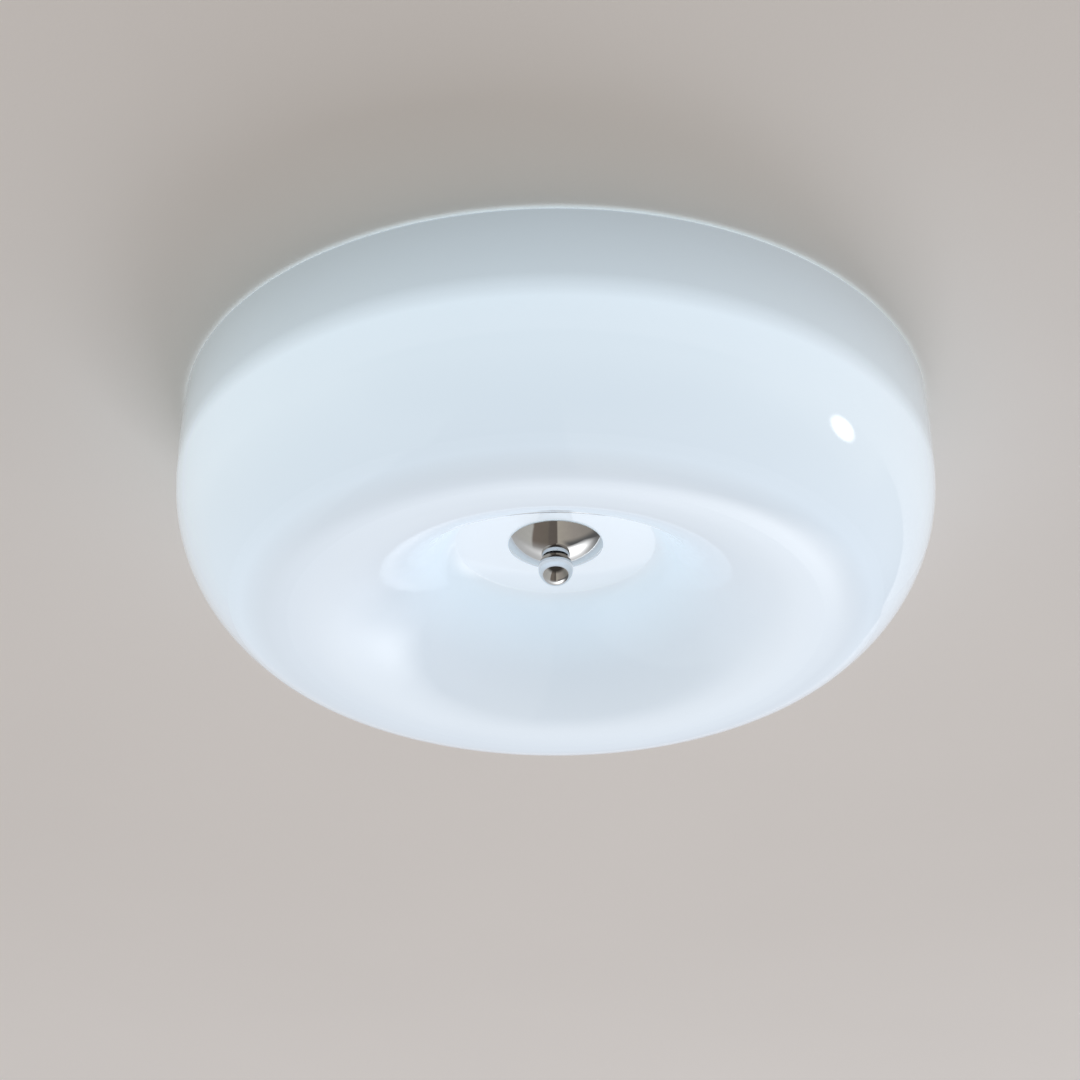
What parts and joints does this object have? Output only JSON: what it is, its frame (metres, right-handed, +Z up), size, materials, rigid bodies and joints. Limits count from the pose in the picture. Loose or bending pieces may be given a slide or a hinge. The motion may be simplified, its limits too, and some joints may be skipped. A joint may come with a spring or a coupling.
{
  "type": "ceiling light",
  "caption": "Round flush ceiling light: opal glass shade with a dished underside, clamped on a threaded rod by a chromed cap and ball nut below an LED tray on a ceiling bracket.",
  "frame": {"origin": "centre of the ceiling bracket's slot pattern, on the ceiling plane", "axes": "+Z up, out of the light into the ceiling, along the hanging rod; +X along the bracket"},
  "size_m": [0.3999, 0.4, 0.124],
  "materials": {
    "opal_glass": "glossy opal glass, lit from inside",
    "chrome": "polished",
    "tray_paint": "satin white powder coat",
    "zinc_steel": "bright zinc plate",
    "silicone": "translucent matt",
    "black_rubber": "matt",
    "board_white": "white solder mask",
    "led_phosphor": "silicone phosphor",
    "lens_acrylic": "frosted acrylic",
    "white_plastic": "moulded",
    "circuit_green": "solder mask",
    "ferrite": "ferrite and tape",
    "can_aluminium": "sleeved can",
    "brass": "bare",
    "wire_brown": "insulation",
    "wire_blue": "insulation",
    "wire_green_yellow": "insulation",
    "wire_red": "insulation",
    "wire_black": "insulation"
  },
  "bodies": {
    "chassis": {"board_connector": "white_plastic", "board_screws": "zinc_steel", "bracket_studs": "zinc_steel", "ceiling_bracket": "zinc_steel", "chassis_pan": "tray_paint", "driver_base": "white_plastic", "driver_board": "circuit_green", "driver_capacitor": "can_aluminium", "driver_cover": "white_plastic", "driver_screws": "zinc_steel", "driver_transformer": "ferrite", "earth_lug": "zinc_steel", "earth_nut": "zinc_steel", "earth_post": "brass", "hanging_rod": "zinc_steel", "led_board": "board_white", "led_chips": "led_phosphor", "led_lenses": "lens_acrylic", "pan_cap_nuts": "zinc_steel", "rod_nuts": "zinc_steel", "rod_washers": "zinc_steel", "stud_locknuts": "zinc_steel", "terminal_block": "white_plastic", "terminal_fixings": "zinc_steel", "terminal_screws": "brass", "terminal_tubes": "brass", "wire_earth": "wire_green_yellow", "wire_grommet": "black_rubber", "wire_led_negative": "wire_black", "wire_led_positive": "wire_red", "wire_live": "wire_brown", "wire_neutral": "wire_blue"},
    "shade": {"glass_shade": "opal_glass", "upper_gasket": "silicone", "lower_gasket": "silicone", "finial_cap": "chrome"},
    "washer": {"finial_washer": "black_rubber"},
    "finial": {"ball_finial": "chrome"}
  },
  "joints": [
    {"name": "shade_removal", "type": "slide", "parent": "chassis", "child": "shade", "axis": [0, 0, -1], "range_m": [0, 0.15]},
    {"name": "finial_travel", "type": "slide", "parent": "shade", "child": "washer", "axis": [0, 0, -1], "range_m": [0, 0.00751]},
    {"name": "finial_turn", "type": "hinge", "parent": "washer", "child": "finial", "pos_m": [0, 0, -0.0901], "axis": [0, 0, -1], "range_deg": [0, 2700]}
  ],
  "couplings": [
    {"joint": "finial_travel", "follows": "finial_turn", "m_per_rad": 0.00015915}
  ]
}
